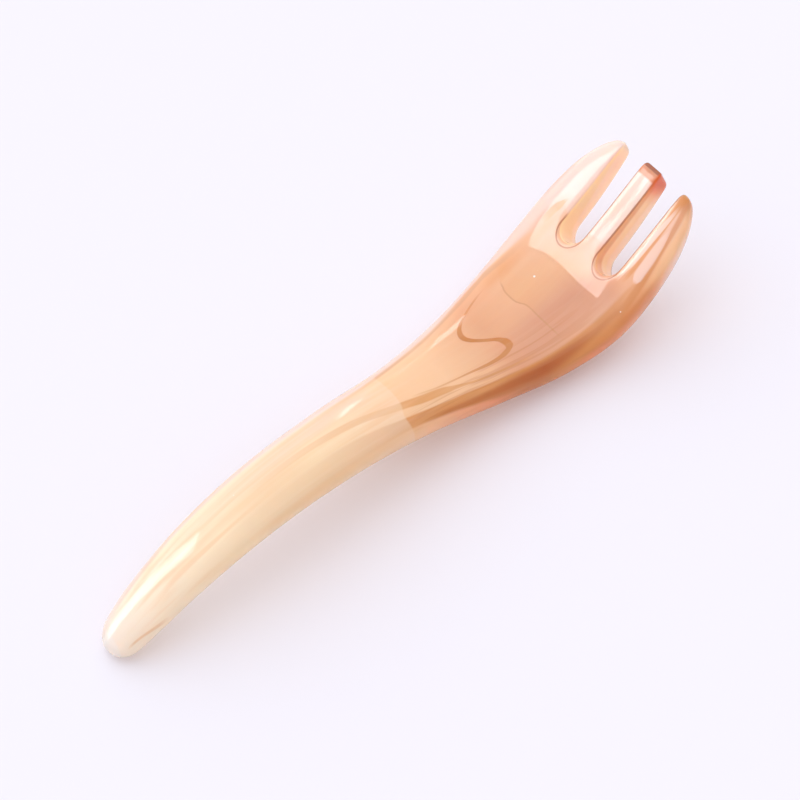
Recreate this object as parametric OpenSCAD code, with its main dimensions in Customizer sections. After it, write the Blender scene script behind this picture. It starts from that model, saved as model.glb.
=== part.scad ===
// Scalp massage comb with three tines, moulded and polished in one piece.
// It lies as it rests by itself: on the end of its handle and on the belly of its head.
// Millimetres, +X towards the tines, +Z up. The origin is on the table, under the middle of the comb.
// The comb is first laid out flat, as rows along X and columns across Y. Each row is then
// lifted and tilted onto the S-shaped profile line that runs from the handle to the tines.

/* [Overall] */
// Length of the profile line in plan, from the end of the handle to the ends of the tines
comb_length = 160; // [140:1:175]
// Width of the head where it is widest, near the roots of the slots
head_width = 36; // [34:0.5:39]
// How much of the profile's full rise and fall is built
profile_share = 1; // [0.8:0.05:1.1]
// How much of the full thickness is built
thickness_share = 1; // [0.8:0.05:1.2]
// Depth of the flats on which the belly and the end of the handle rest
rest_flat = 0.1; // [0:0.02:0.2]

/* [Tines] */
// Width of the middle tine
tine_width = 5.2; // [4.4:0.1:6]
// Width of each of the two slots between the tines
slot_width = 6.4; // [5.6:0.1:7]
// Length of each slot, from its round root to the ends of the tines
slot_length = 19.8; // [17:0.2:24]
// Break of the sharp edges along the slots
slot_edge = 0.5; // [0.3:0.1:1]

/* [Round ends] */
// Length of the round outer corners of the head, along the comb
head_corner_length = 9; // [7:0.5:11]
// Depth of the same round corners, across the comb
head_corner_depth = 4.6; // [4:0.1:5.2]
// Rounding in plan of the inner corners at the ends of the tines
tine_corner_r = 0.8; // [0.4:0.1:1.2]
// Rounding of the ends of the tines from top to underside
tine_end_r = 1.3; // [0.8:0.1:2]
// Angle in degrees by which the ends of the tines lean out over their undersides
tine_end_lean = 20; // [0:1:22]
// Rounding in plan of the end of the handle
handle_end_r = 4.1; // [3:0.1:4.2]
// Rounding of the end of the handle from top to underside
handle_nose_r = 2.2; // [1:0.1:2.4]

/* [Hidden] */
horn_cream = "#F3C79B";

// Sections of the comb. PLACE is the share of the length from the end of the handle. HALF_WIDTH
// is a share of half the head's width. MID_HEIGHT is the height of the profile line, HALF_THICK
// half the thickness at the middle, and DISH the rise of the head's edges, all in mm. FULLNESS
// is the exponent of the section's outline: 2 is an ellipse, and a larger one is squarer.
PLACE = 0;
HALF_WIDTH = 1;
MID_HEIGHT = 2;
HALF_THICK = 3;
DISH = 4;
FULLNESS = 5;
SECTIONS = [
    [0.00, 0.24,   1.1, 2.4, 0.0, 2.2],
    [0.04, 0.31,   5.5, 2.9, 0.0, 2.2],
    [0.12, 0.38,  12.0, 3.6, 0.0, 2.2],
    [0.25, 0.44,  16.9, 4.2, 0.0, 2.3],
    [0.40, 0.48,  15.9, 4.6, 0.0, 2.3],
    [0.54, 0.54,  10.7, 4.8, 0.6, 2.5],
    [0.65, 0.70,   6.7, 4.9, 1.2, 2.7],
    [0.75, 0.885,  5.1, 5.1, 1.3, 2.8],
    [0.84, 1.00,   7.9, 5.4, 1.4, 2.8],
    [0.92, 0.98,  15.9, 5.0, 2.0, 2.8],
    [1.00, 0.82,  26.8, 3.6, 2.2, 2.8],
];
LAST = len(SECTIONS) - 1;

// Slope of one column of the table at row i, from the rows on both sides of it
function gap_after(i) = SECTIONS[i + 1][PLACE] - SECTIONS[i][PLACE];
function rise_after(i, column) = (SECTIONS[i + 1][column] - SECTIONS[i][column]) / gap_after(i);
function slope_at(i, column) =
    i == 0 ? rise_after(0, column) :
    i == LAST ? rise_after(LAST - 1, column) :
    (gap_after(i - 1) * rise_after(i, column) + gap_after(i) * rise_after(i - 1, column))
        / (gap_after(i - 1) + gap_after(i));

// Value of one column at a share u of the length, on a smooth curve through the table's rows
function row_below(u) = min(LAST - 1, max([for (i = [0:LAST]) SECTIONS[i][PLACE] <= u ? i : 0]));
function smooth(u, column) =
    let (i = row_below(u),
         gap = gap_after(i),
         t = (u - SECTIONS[i][PLACE]) / gap)
    (1 + 2 * t) * pow(1 - t, 2) * SECTIONS[i][column]
        + t * pow(1 - t, 2) * gap * slope_at(i, column)
        + t * t * (3 - 2 * t) * SECTIONS[i + 1][column]
        + t * t * (t - 1) * gap * slope_at(i + 1, column);

// How far a surface has dropped at a distance d from an end that is rounded with radius r
function round_drop(d, r) = d >= r ? 0 : r - sqrt(max(0, r * r - pow(r - d, 2)));
// Distances 0 to r in steps that follow a quarter turn, close together at the end itself
function round_steps(r, steps) = [for (i = [0:steps]) r * (1 - cos(90 * i / steps))];

// The flat layout: slot roots, and the places where the rows stand
slot_r = slot_width / 2;
slot_y = tine_width / 2 + slot_r;
slot_out = tine_width / 2 + slot_width;
root_x = comb_length - slot_length + slot_r;
blend_x = root_x - 10;
end_x = comb_length;
// The outer corner leaves at least this width of end face on an outer tine
min_end_face = 0.3;
corner_depth =
    min(head_corner_depth, half_width(end_x) - slot_out - tine_corner_r - min_end_face);
tine_start_x = end_x - head_corner_length;
// The rows start to lean outwards this far from the ends of the tines
lean_reach = 8;

HANDLE_END_STEPS = 6;
HANDLE_ROWS = 24;
BLEND_ROWS = 4;
TINE_ROWS = 3;
TINE_END_STEPS = 8;

function spread(from, to, count) = [for (i = [1:count]) from + (to - from) * i / count];
// The rows that bow back to a slot's root stand closer together towards it
function blend_share(k) = 1 - pow(1 - k / BLEND_ROWS, 1.6);

ROW_X = concat(
    round_steps(handle_end_r, HANDLE_END_STEPS),
    spread(handle_end_r, blend_x, HANDLE_ROWS),
    [for (k = [1:BLEND_ROWS]) blend_x + (root_x - slot_edge - blend_x) * blend_share(k)],
    spread(root_x - slot_edge, root_x, 1),
    spread(root_x, tine_start_x, TINE_ROWS),
    [for (i = [TINE_END_STEPS - 1:-1:0]) end_x - round_steps(head_corner_length, TINE_END_STEPS)[i]]
);
BLEND_ROW = HANDLE_END_STEPS + HANDLE_ROWS;
ROOT_ROW = BLEND_ROW + BLEND_ROWS + 1;
LAST_ROW = len(ROW_X) - 1;

function share(x) = x / comb_length;
function half_width(x) = head_width / 2 * smooth(share(x), HALF_WIDTH);
function corner_drop(x) =
    corner_depth * round_drop((end_x - x) / head_corner_length, 1);
function outline(x) = half_width(x) - round_drop(x, handle_end_r) - corner_drop(x);

// Columns across one half of the comb, as shares of the half width at the slot roots
root_half = half_width(root_x);
tine_share = tine_width / 2 / root_half;
slot_share = slot_out / root_half;
edge_share = slot_edge / root_half;
SLOT_STEPS = 6;
OUTER_STEPS = 6;

SLOT_COLUMNS = [for (i = [1:SLOT_STEPS - 1]) (slot_y - slot_r * cos(180 * i / SLOT_STEPS)) / root_half];
OUTER_COLUMNS = [for (i = [1:OUTER_STEPS])
    slot_share + edge_share + (1 - slot_share - edge_share) * sin(90 * i / OUTER_STEPS)];
HALF_COLUMNS = concat(
    [tine_share - edge_share, tine_share], SLOT_COLUMNS,
    [slot_share, slot_share + edge_share], OUTER_COLUMNS
);
HALF_COUNT = len(HALF_COLUMNS);
COLUMN = concat([for (i = [HALF_COUNT - 1:-1:0]) -HALF_COLUMNS[i]], [0], HALF_COLUMNS);
LAST_COLUMN = len(COLUMN) - 1;
TINE_COLUMN = HALF_COUNT + 2;
SLOT_COLUMN = TINE_COLUMN + SLOT_STEPS;

// True where the column number lies strictly inside a slot, or on one of its two sides
function column_out(j) = HALF_COUNT + abs(j - HALF_COUNT);
function inside_slot(j) = column_out(j) > TINE_COLUMN && column_out(j) < SLOT_COLUMN;

// Flat place of a row's point: the rows before a slot bow back to the round root
function arc_x(y) = root_x - sqrt(max(0, slot_r * slot_r - pow(abs(y) - slot_y, 2)));
function flat_x(i, j) =
    !inside_slot(j) || i <= BLEND_ROW ? ROW_X[i] :
    let (root = arc_x(COLUMN[j] * root_half))
    i >= ROOT_ROW ? root :
    blend_x + (root - slot_edge - blend_x) * blend_share(i - BLEND_ROW);

// Across the tines, the corners at their ends are rounded and the slot sides stay straight
function inner_y(x, side_y, towards) = side_y + towards * round_drop(end_x - x, tine_corner_r);
function outer_y(x, j) =
    let (inner = inner_y(x, slot_out, 1),
         t = (abs(COLUMN[j]) - slot_share) / (1 - slot_share))
    inner + (outline(x) - inner) * t;
function tine_y(x, j) = inner_y(x, tine_width / 2, -1) * abs(COLUMN[j]) / tine_share;
function flat_y(i, j) =
    let (x = ROW_X[i],
         y = i <= ROOT_ROW ? abs(COLUMN[j]) * outline(x) :
             column_out(j) >= SLOT_COLUMN ? outer_y(x, j) :
             column_out(j) <= TINE_COLUMN ? tine_y(x, j) : abs(COLUMN[j]) * root_half)
    sign(COLUMN[j]) * y;

// Half the thickness at a flat place, less the broken edge along a slot and the round ends
function slot_distance(x, y) =
    sqrt(pow(min(0, x - root_x), 2) + pow(abs(y) - slot_y, 2)) - slot_r;
function half_thick(x, y) =
    let (u = share(x),
         across = min(1, abs(y) / outline(x)),
         full = smooth(u, FULLNESS),
         middle = thickness_share * smooth(u, HALF_THICK)
             - round_drop(x, handle_nose_r) - round_drop(end_x - x, tine_end_r),
         broken = max(0, slot_edge - max(0, slot_distance(x, y))))
    max(0.2, middle * pow(1 - pow(across, full), 1 / full) - broken);

// Lift a flat point onto the profile line: side is 1 for the top and -1 for the underside
function height(x) = profile_share * smooth(share(x), MID_HEIGHT);
function lean(x) = tine_end_lean * pow(max(0, 1 - (end_x - x) / lean_reach), 2);
function tilt(x) = atan((height(x + 0.05) - height(x - 0.05)) / 0.1) - lean(x);
function dish(x, y) = smooth(share(x), DISH) * pow(y / (head_width / 2), 2);
function lifted(i, j, side) =
    let (x = flat_x(i, j),
         y = flat_y(i, j),
         rim = j == 0 || j == LAST_COLUMN,
         up = dish(x, y) + (rim ? 0 : side * half_thick(x, y)))
    [x - up * sin(tilt(x)), y, height(x) + up * cos(tilt(x))];

// Points of the top, row by row, then those of the underside. The rim's are shared by both.
COLUMNS = LAST_COLUMN + 1;
SHEET = (LAST_ROW + 1) * COLUMNS;
RAW_POINTS = [for (side = [1, -1]) for (i = [0:LAST_ROW]) for (j = [0:LAST_COLUMN]) lifted(i, j, side)];
lowest = min([for (p = RAW_POINTS) p.z]);
middle_x = (min([for (p = RAW_POINTS) p.x]) + max([for (p = RAW_POINTS) p.x])) / 2;
POINTS = [for (p = RAW_POINTS) [p.x - middle_x, p.y, max(0, p.z - lowest - rest_flat)]];

function top_point(i, j) = i * COLUMNS + j;
function low_point(i, j) = (j == 0 || j == LAST_COLUMN ? 0 : SHEET) + top_point(i, j);

// A cell lies between two rows and two columns, and those beyond a slot's root are open
function in_slot(j) = inside_slot(j) || inside_slot(j + 1);
function filled(i, j) =
    i >= 0 && i < LAST_ROW && j >= 0 && j < LAST_COLUMN && !(i >= ROOT_ROW && in_slot(j));

// Two triangles for four corners in order, leaving out one that would have no area
function halves(a, b, c, d) = concat(
    a == b || b == c || a == c ? [] : [[a, b, c]],
    a == c || c == d || a == d ? [] : [[a, c, d]]
);
// The wall that closes the comb between top and underside along the edge from p to q
function wall(p, q) = halves(
    top_point(p.x, p.y), top_point(q.x, q.y), low_point(q.x, q.y), low_point(p.x, p.y)
);

function cell_faces(i, j) = concat(
    halves(top_point(i, j), top_point(i, j + 1), top_point(i + 1, j + 1), top_point(i + 1, j)),
    halves(low_point(i, j), low_point(i + 1, j), low_point(i + 1, j + 1), low_point(i, j + 1)),
    filled(i - 1, j) ? [] : wall([i, j + 1], [i, j]),
    filled(i + 1, j) ? [] : wall([i + 1, j], [i + 1, j + 1]),
    filled(i, j - 1) ? [] : wall([i, j], [i + 1, j]),
    filled(i, j + 1) ? [] : wall([i + 1, j + 1], [i, j + 1])
);
FACES = [for (i = [0:LAST_ROW - 1]) for (j = [0:LAST_COLUMN - 1])
    if (filled(i, j)) each cell_faces(i, j)];

module comb() {
    color(horn_cream)
        polyhedron(points = POINTS, faces = FACES, convexity = 6);
}

comb();
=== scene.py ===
"""Scalp massage comb with three tines, cast in imitation horn and polished all over.

The comb is one casting. Its blank is cut out flat, opened at the slots, given its thickness and
then bent onto the S-shaped profile line, as a comb maker shapes a sheet of horn. It lies on a
pale table in an even white studio, with a tall softbox on one side and a strip on another.
"""

import logging
import math
from dataclasses import dataclass
from enum import Enum
from typing import Any, Callable, Iterable

import bmesh
import bpy
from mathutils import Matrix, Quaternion, Vector


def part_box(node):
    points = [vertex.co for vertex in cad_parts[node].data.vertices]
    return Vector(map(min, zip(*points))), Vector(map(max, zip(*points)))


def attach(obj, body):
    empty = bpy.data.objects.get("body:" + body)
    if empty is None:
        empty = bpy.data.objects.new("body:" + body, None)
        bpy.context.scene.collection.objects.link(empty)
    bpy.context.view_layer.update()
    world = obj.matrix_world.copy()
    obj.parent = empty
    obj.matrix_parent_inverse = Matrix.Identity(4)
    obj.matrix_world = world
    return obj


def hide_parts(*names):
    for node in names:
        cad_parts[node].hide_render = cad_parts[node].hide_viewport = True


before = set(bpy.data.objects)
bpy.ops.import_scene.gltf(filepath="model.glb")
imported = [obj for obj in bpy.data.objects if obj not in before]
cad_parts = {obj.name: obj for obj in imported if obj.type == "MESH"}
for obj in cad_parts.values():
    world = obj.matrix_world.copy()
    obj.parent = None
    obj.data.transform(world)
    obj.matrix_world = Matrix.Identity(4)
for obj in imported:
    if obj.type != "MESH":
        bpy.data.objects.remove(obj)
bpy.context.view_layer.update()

log = logging.getLogger("comb")

Object = bpy.types.Object
Tree = bpy.types.NodeTree
Node = bpy.types.Node
Socket = bpy.types.NodeSocket
Points = list[bmesh.types.BMVert]
Limit = tuple[Socket, float, float]
Triple = tuple[float, float, float]

# A millimetre in metres, and the slack within which two places count as one
MM = 0.001
HAIR = 0.001

# Places are in millimetres from the middle of the comb, and its length is measured in plan
LENGTH = 160.0
HANDLE_END = -80.2
HEAD_MIDDLE = (50.0, 0.0, 10.0)


def linear(hex_colour: str) -> tuple[float, float, float, float]:
    """Turn an sRGB hex colour, such as "#F3C79B", into the linear colour that shaders take."""
    values = [int(hex_colour[i : i + 2], 16) / 255 for i in (1, 3, 5)]
    return *(v / 12.92 if v <= 0.04045 else ((v + 0.055) / 1.055) ** 2.4 for v in values), 1.0


def round_drop(distance: float, radius: float) -> float:
    """Give how far a rounded end has dropped below the surface that it ends.

    Args:
        distance: Distance from the end, in millimetres.
        radius: Radius of the rounding, in millimetres.

    Returns:
        The drop in millimetres, which is nothing beyond the radius.
    """
    if distance >= radius:
        return 0.0
    return radius - math.sqrt(max(0.0, radius**2 - (radius - max(distance, 0.0)) ** 2))


def quarter_turn(radius: float, steps: int) -> list[float]:
    """List distances from a rounded end, in even steps of a quarter turn, up to its radius."""
    return [radius * (1 - math.cos(math.pi / 2 * i / steps)) for i in range(steps + 1)]


def spread(start: float, end: float, count: int) -> list[float]:
    """List some places that stand evenly after a start, up to and with the end."""
    return [start + (end - start) * i / count for i in range(1, count + 1)]


@dataclass(frozen=True)
class Section:
    """One measured section of the comb, in millimetres or as a share.

    Attributes:
        place: Share of the comb's length from the end of the handle.
        half_width: Share of half the head's width.
        mid_height: Height of the profile line.
        half_thick: Half the thickness at the middle.
        dish: Rise of the edges above the middle, at the head's full width.
        fullness: Exponent of the outline: 2 is an ellipse, and a larger one is squarer.
    """

    place: float
    half_width: float
    mid_height: float
    half_thick: float
    dish: float
    fullness: float


SECTIONS = (
    Section(0.00, 0.24, 1.1, 2.4, 0.0, 2.2),
    Section(0.04, 0.31, 5.5, 2.9, 0.0, 2.2),
    Section(0.12, 0.38, 12.0, 3.6, 0.0, 2.2),
    Section(0.25, 0.44, 16.9, 4.2, 0.0, 2.3),
    Section(0.40, 0.48, 15.9, 4.6, 0.0, 2.3),
    Section(0.54, 0.54, 10.7, 4.8, 0.6, 2.5),
    Section(0.65, 0.70, 6.7, 4.9, 1.2, 2.7),
    Section(0.75, 0.885, 5.1, 5.1, 1.3, 2.8),
    Section(0.84, 1.00, 7.9, 5.4, 1.4, 2.8),
    Section(0.92, 0.98, 15.9, 5.0, 2.0, 2.8),
    Section(1.00, 0.82, 26.8, 3.6, 2.2, 2.8),
)


def smooth(share: float, size: str) -> float:
    """Read a size at any place along the comb, on a smooth curve through the measured sections.

    Args:
        share: Share of the comb's length from the end of the handle.
        size: Name of the section's size.

    Returns:
        The size at that place.
    """
    last = len(SECTIONS) - 1
    values = [getattr(section, size) for section in SECTIONS]
    gaps = [SECTIONS[i + 1].place - SECTIONS[i].place for i in range(last)]
    rises = [(values[i + 1] - values[i]) / gaps[i] for i in range(last)]

    def slope(i: int) -> float:
        """Give the curve's slope at a section, from the sections on both sides of it."""
        if i in (0, last):
            return rises[min(i, last - 1)]
        return (gaps[i - 1] * rises[i] + gaps[i] * rises[i - 1]) / (gaps[i - 1] + gaps[i])

    i = min(last - 1, max([k for k in range(last + 1) if SECTIONS[k].place <= share], default=0))
    t = (share - SECTIONS[i].place) / gaps[i]
    return (
        (1 + 2 * t) * (1 - t) ** 2 * values[i]
        + t * (1 - t) ** 2 * gaps[i] * slope(i)
        + t * t * (3 - 2 * t) * values[i + 1]
        + t * t * (t - 1) * gaps[i] * slope(i + 1)
    )


def crossing(place: Vector) -> tuple[float, float]:
    """Give the crossing of a row and a column that a point belongs to, on either side."""
    return round(place.x, 4), round(abs(place.y), 4)


class Bench:
    """A mesh in edit mode, worked with Blender's own tools at points that are picked in code."""

    def __init__(self, name: str) -> None:
        """Lay a unit sheet on the bench.

        Args:
            name: Name of the new object.
        """
        bpy.ops.object.select_all(action="DESELECT")
        bpy.ops.mesh.primitive_plane_add(size=1)
        self.piece: Object = bpy.context.active_object
        self.piece.name = self.piece.data.name = name
        self.picked: Points = []
        bpy.ops.object.mode_set(mode="EDIT")
        bpy.ops.mesh.select_mode(type="VERT")

    def mesh(self) -> bmesh.types.BMesh:
        """Give the mesh that is being edited."""
        return bmesh.from_edit_mesh(self.piece.data)

    def cut(self, place: Triple, across: Triple) -> None:
        """Cut the whole sheet along a line, through a place and at right angles to a direction."""
        bpy.ops.mesh.select_all(action="SELECT")
        bpy.ops.mesh.bisect(plane_co=place, plane_no=across)

    def pick_faces(self, wanted: Callable[[Vector], bool]) -> None:
        """Pick the faces whose middle passes a test, and nothing else.

        Args:
            wanted: The test of a face's middle.
        """
        bpy.ops.mesh.select_all(action="DESELECT")
        bpy.ops.mesh.select_mode(type="FACE")
        for face in self.mesh().faces:
            face.select_set(wanted(face.calc_center_median()))

    def points_by(self, key: Callable[[Vector], Any]) -> dict[Any, Points]:
        """Sort the points into groups by their place, and leave nothing picked.

        Args:
            key: Gives the group of a place.

        Returns:
            The points of each group.
        """
        bpy.ops.mesh.select_mode(type="VERT")
        bpy.ops.mesh.select_all(action="DESELECT")
        self.picked = []
        groups: dict[Any, Points] = {}
        for point in self.mesh().verts:
            groups.setdefault(key(point.co), []).append(point)
        return groups

    def pick(self, points: Iterable[bmesh.types.BMVert]) -> None:
        """Pick some points, and nothing else.

        Args:
            points: The points.
        """
        for point in self.picked:
            point.select_set(False)
        self.picked = list(points)
        for point in self.picked:
            point.select_set(True)

    def move(self, x: float, y: float, z: float) -> None:
        """Move what is picked along the comb, across it and up, in millimetres."""
        bpy.ops.transform.translate(value=(x, y, z))

    def scale(self, x: float, y: float, z: float) -> None:
        """Scale what is picked along the comb, across it and upwards, about the origin."""
        bpy.ops.transform.resize(value=(x, y, z), center_override=(0, 0, 0))

    def put_away(self) -> Object:
        """Leave edit mode and give the finished object."""
        bpy.ops.object.mode_set(mode="OBJECT")
        return self.piece


@dataclass
class CombCasting:
    """The whole comb, which is one casting. Sizes are in millimetres, before it is bent.

    Attributes:
        length: Length in plan of the profile line.
        head_width: Width where the head is widest.
        tine_width: Width of the middle tine.
        slot_width: Width of each slot.
        slot_length: Length of each slot, from its round root to the ends of the tines.
        slot_edge_r: Rounding of the edges along the slots.
        outer_corner_length: Length along the comb of the head's round outer corners.
        outer_corner_depth: Depth across the comb of the same corners.
        inner_corner_r: Rounding in plan of the other corners at the ends of the tines.
        tine_end_r: Rounding of the ends of the tines from top to underside.
        tine_end_lean: Angle by which the ends of the tines lean out over their undersides.
        lean_reach: Distance from the ends of the tines where the lean starts.
        handle_end_r: Rounding in plan of the end of the handle.
        handle_nose_r: Rounding of the end of the handle from top to underside.
        rest_flat: Depth of the flats on which the comb rests.
        blend_length: Stretch before the slot roots over which the columns bend round them.
        least_half: Half the thickness that the round ends leave.
        layers: Heights of the slab's layers, as shares of half the thickness.
    """

    length: float = LENGTH
    head_width: float = 36
    tine_width: float = 5.2
    slot_width: float = 6.4
    slot_length: float = 19.8
    slot_edge_r: float = 0.5
    outer_corner_length: float = 9
    outer_corner_depth: float = 4.6
    inner_corner_r: float = 0.8
    tine_end_r: float = 1.3
    tine_end_lean: float = 20
    lean_reach: float = 8
    handle_end_r: float = 4.1
    handle_nose_r: float = 2.2
    rest_flat: float = 0.1
    blend_length: float = 10
    least_half: float = 0.2
    layers: tuple[float, ...] = (0.28, 0.72, 0.72, 0.28)

    def __post_init__(self) -> None:
        """Work out where the blank is cut along and across, closer together where it is round."""
        self.slot_r = self.slot_width / 2
        self.slot_y = self.tine_width / 2 + self.slot_r
        self.slot_out = self.tine_width / 2 + self.slot_width
        self.root_x = self.length - self.slot_length + self.slot_r
        self.blend_x = self.root_x - self.blend_length
        self.root_half = self.half_width(self.root_x)
        self.rings = quarter_turn(self.slot_edge_r, 2)
        self.angles = spread(0, math.pi, 8)[:-1]
        end_rows, handle_rows, blend_rows, slot_rows, corner_rows, edge_columns = 6, 58, 7, 6, 9, 7
        corner_x = self.length - self.outer_corner_length
        ring_rows = [self.root_x - ring for ring in self.rings[::-1]]
        self.rows = quarter_turn(self.handle_end_r, end_rows)
        self.rows += spread(self.handle_end_r, self.blend_x, handle_rows)
        self.rows += spread(self.blend_x, ring_rows[0], blend_rows)[:-1] + ring_rows
        self.rows += spread(self.root_x, corner_x, slot_rows)
        corner = quarter_turn(self.outer_corner_length, corner_rows)
        self.rows += [self.length - end for end in corner[-2::-1]]
        inner_edge = self.tine_width / 2 - self.slot_edge_r
        outer_edge = self.slot_out + self.slot_edge_r
        self.columns = [0.0, inner_edge / 2]
        self.columns += [self.tine_width / 2 - ring for ring in self.rings[::-1]]
        self.columns += [self.slot_y - self.slot_r * math.cos(angle) for angle in self.angles]
        self.columns += [self.slot_out + ring for ring in self.rings]
        turns = spread(0, math.pi / 2, edge_columns)
        wide = self.root_half - outer_edge
        self.columns += [outer_edge + wide * math.sin(turn) for turn in turns]

    def half_width(self, x: float) -> float:
        """Give half the comb's width at a distance from the handle's end, without round ends."""
        return self.head_width / 2 * smooth(x / self.length, "half_width")

    def outline(self, x: float) -> float:
        """Give half the comb's width, with the round ends.

        Args:
            x: Distance from the end of the handle.

        Returns:
            Half the width.
        """
        end = round_drop(x, self.handle_end_r)
        corner = round_drop((self.length - x) / self.outer_corner_length, 1)
        return self.half_width(x) - end - self.outer_corner_depth * corner

    def half_thick(self, x: float, y: float) -> float:
        """Give half the thickness at a place of the flat blank.

        Args:
            x: Distance from the end of the handle.
            y: Distance from the middle.

        Returns:
            Half the thickness, less the round ends and the round edges along the slots.
        """
        share = x / self.length
        across = min(1.0, y / self.outline(x))
        if across > 0.9999:
            return 0.0
        fullness = smooth(share, "fullness")
        middle = smooth(share, "half_thick") - round_drop(x, self.handle_nose_r)
        middle -= round_drop(self.length - x, self.tine_end_r)
        from_slot = math.hypot(min(0.0, x - self.root_x), y - self.slot_y) - self.slot_r
        edge = round_drop(from_slot, self.slot_edge_r)
        return max(self.least_half, middle * (1 - across**fullness) ** (1 / fullness) - edge)

    def dish(self, x: float, y: float) -> float:
        """Give how far the dished head stands up at a place, above its middle."""
        return smooth(x / self.length, "dish") * (y / (self.head_width / 2)) ** 2

    def straight_y(self, x: float, column: float) -> float:
        """Give where a column of the blank lies at a row, before the slot roots are rounded.

        Args:
            x: Distance of the row from the end of the handle.
            column: Distance of the column from the middle, at the roots of the slots.

        Returns:
            Distance from the middle.
        """
        if x <= self.root_x + HAIR:
            return column * self.outline(x) / self.root_half
        corner = round_drop(self.length - x, self.inner_corner_r)
        if column < self.slot_y:
            return column * (1 - corner / (self.tine_width / 2))
        inner = self.slot_out + corner
        wide = self.outline(x) - inner
        edge = min(self.slot_edge_r, 0.4 * wide)
        along = column - self.slot_out
        if along <= self.slot_edge_r:
            return inner + along * edge / self.slot_edge_r
        share = (along - self.slot_edge_r) / (self.root_half - self.slot_out - self.slot_edge_r)
        return inner + edge + share * (wide - edge)

    def root_place(self, row: int, column: float) -> tuple[float, float] | None:
        """Give a place on the rings that round the root of a slot.

        Args:
            row: Number of the ring that the row lies on, from the slot itself outwards.
            column: Distance of the column from the middle, at the roots of the slots.

        Returns:
            Distances from the end of the handle and from the middle, or nothing for a column
            that passes outside the rings.
        """
        outside = abs(column - self.slot_y) - self.slot_r
        ring = row
        if outside < -HAIR:
            angle = math.acos((self.slot_y - column) / self.slot_r)
        else:
            near = [i for i, reach in enumerate(self.rings) if abs(reach - outside) < HAIR]
            if not near:
                return None
            ring = max(row, near[0])
            step = row if near[0] >= row else 2 * row - near[0]
            angle = self.angles[0] * step / (2 * ring + 1)
            angle = angle if column < self.slot_y else math.pi - angle
        radius = self.slot_r + self.rings[ring]
        return self.root_x - radius * math.sin(angle), self.slot_y - radius * math.cos(angle)

    def flat_place(self, x: float, column: float) -> tuple[float, float]:
        """Give where a crossing of a row and a column lies on the flat comb.

        Args:
            x: Distance of the row from the end of the handle.
            column: Distance of the column from the middle, at the roots of the slots.

        Returns:
            Distances from the end of the handle and from the middle.
        """
        y = self.straight_y(x, column)
        last = len(self.rings) - 1
        ring_x = self.root_x - self.rings[last]
        if x <= self.blend_x or x > self.root_x + HAIR:
            return x, y
        if x > ring_x - HAIR:
            row = min(range(last + 1), key=lambda i: abs(self.root_x - self.rings[i] - x))
            return self.root_place(row, column) or (x, y)
        place = self.root_place(last, column)
        if place is None:
            return x, y
        share = ((x - self.blend_x) / (ring_x - self.blend_x)) ** 1.5
        end_y = self.straight_y(ring_x, column)
        return x + share * (place[0] - ring_x), y + share * (place[1] - end_y)

    def cut_blank(self, bench: Bench) -> None:
        """Cut a flat sheet into rows and columns, and open its two slots.

        Args:
            bench: The bench that holds the sheet.
        """
        bpy.ops.mesh.select_all(action="SELECT")
        bench.move(0.5, 0, 0)
        bench.scale(self.length, 2 * self.root_half, 1)
        for x in self.rows[1:-1]:
            bench.cut((x, 0, 0), (1, 0, 0))
        bench.cut((0, 0, 0), (0, 1, 0))
        for column in self.columns[1:-1]:
            for side in (-1, 1):
                bench.cut((0, side * column, 0), (0, 1, 0))
        bench.pick_faces(
            lambda middle: middle.x > self.root_x and abs(abs(middle.y) - self.slot_y) < self.slot_r
        )
        bpy.ops.mesh.delete(type="FACE")

    def draw_outline(self, bench: Bench) -> None:
        """Bring every crossing of the flat sheet to the comb's outline and round slot roots.

        Args:
            bench: The bench that holds the sheet.
        """
        for (x, column), points in bench.points_by(crossing).items():
            new_x, new_y = self.flat_place(x, column)
            bench.pick(points)
            if abs(new_x - x) > 0.0001:
                bench.move(new_x - x, 0, 0)
            if column and abs(new_y - column) > 0.00001:
                bench.scale(1, new_y / column, 1)

    def thicken(self, bench: Bench) -> None:
        """Pull the flat sheet up into a slab, then give it the comb's thickness and dish.

        Args:
            bench: The bench that holds the sheet.
        """
        bpy.ops.mesh.select_all(action="SELECT")
        bench.move(0, 0, -1)
        for rise in self.layers:
            bpy.ops.mesh.extrude_region_move(TRANSFORM_OT_translate={"value": (0, 0, rise)})
        for (x, y), points in bench.points_by(crossing).items():
            bench.pick(points)
            bench.scale(1, 1, self.half_thick(x, y))
            if self.dish(x, y) > 0.0001:
                bench.move(0, 0, self.dish(x, y))
        bpy.ops.mesh.select_all(action="SELECT")
        bpy.ops.mesh.remove_doubles(threshold=HAIR)

    def bend(self, bench: Bench) -> None:
        """Lift and tilt the flat comb, row by row, onto its S-shaped profile line.

        Args:
            bench: The bench that holds the slab.
        """
        groups = bench.points_by(lambda place: round(place.x, 4))
        for x, points in groups.items():
            height = smooth(x / self.length, "mid_height")
            step = 0.05
            before = smooth((x - step) / self.length, "mid_height")
            after = smooth((x + step) / self.length, "mid_height")
            lean = max(0.0, 1 - (self.length - x) / self.lean_reach) ** 2 * self.tine_end_lean
            tilt = math.atan((after - before) / (2 * step)) - math.radians(lean)
            bench.pick(points)
            bpy.ops.transform.rotate(value=tilt, orient_axis="Y", center_override=(x, 0, 0))
            bench.move(0, 0, height)

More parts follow.
